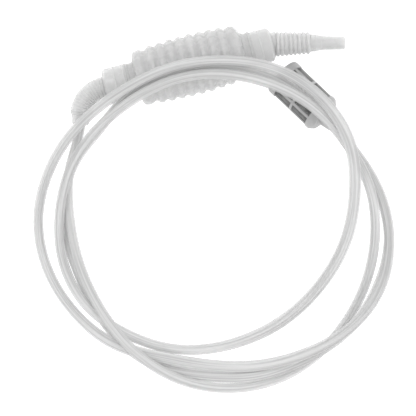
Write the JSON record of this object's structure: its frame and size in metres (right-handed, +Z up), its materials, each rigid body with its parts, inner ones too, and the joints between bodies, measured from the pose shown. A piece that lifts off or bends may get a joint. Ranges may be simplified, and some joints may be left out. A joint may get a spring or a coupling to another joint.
{
  "type": "hand siphon pump",
  "caption": "Hand siphon pump: a ribbed bellows bulb between check valves, a bending spout, and a long clear hose laid in loose loops that ends in a mesh strainer.",
  "frame": {"origin": "on the table under the middle of the pump (bellows, housings, elbow and spout); the hose and the strainer on its end are left out of that middle", "axes": "+X along the bellows from the hose side to the spout, +Z up, +Y away from the loops of hose"},
  "size_m": [0.277, 0.2854, 0.0643],
  "materials": {
    "blown_plastic": "translucent blown polyethylene, satin, faintly wavy",
    "housing_plastic": "translucent moulded polyethylene, satin",
    "ribbed_plastic": "translucent flexible polyethylene, fine ribs",
    "valve_plastic": "natural moulded polypropylene",
    "clear_hose": "clear soft PVC, glossy",
    "strainer_plastic": "pale grey moulded plastic, satin",
    "strainer_mesh": "fine dark woven mesh"
  },
  "bodies": {
    "inlet_side": {"bellows": "blown_plastic", "inlet_neck": "blown_plastic", "inlet_valve_body": "housing_plastic", "inlet_valve_seat": "valve_plastic", "inlet_valve_stop": "valve_plastic", "inlet_elbow": "ribbed_plastic", "hose_cuff": "ribbed_plastic", "hose": "clear_hose", "strainer_nose": "strainer_plastic", "strainer_head": "strainer_plastic", "strainer_cage": "strainer_plastic", "strainer_mesh": "strainer_mesh", "strainer_end_cap": "strainer_plastic"},
    "outlet_side": {"outlet_neck": "blown_plastic", "outlet_valve_body": "housing_plastic", "outlet_valve_seat": "valve_plastic", "outlet_valve_stop": "valve_plastic", "spout_collar": "ribbed_plastic", "spout_ribs": "ribbed_plastic"},
    "spout": {"spout_tip": "ribbed_plastic"},
    "inlet_disc": {"inlet_valve_disc": "valve_plastic"},
    "outlet_disc": {"outlet_valve_disc": "valve_plastic"}
  },
  "joints": [
    {"name": "bellows_squeeze", "type": "slide", "parent": "inlet_side", "child": "outlet_side", "axis": [-1, 0, 0], "range_m": [0, 0.024], "stiffness_N_per_m": 600, "deforming": ["bellows"]},
    {"name": "spout_bend", "type": "hinge", "parent": "outlet_side", "child": "spout", "pos_m": [0.07001, -0.00302, 0.024], "axis": [0, 0, 1], "range_deg": [0, 40], "deforming": ["spout_ribs"]},
    {"name": "inlet_valve_lift", "type": "slide", "parent": "inlet_side", "child": "inlet_disc", "axis": [1, 0, 0], "range_m": [0, 0.002]},
    {"name": "outlet_valve_lift", "type": "slide", "parent": "outlet_side", "child": "outlet_disc", "axis": [1, 0, 0], "range_m": [0, 0.002]}
  ]
}
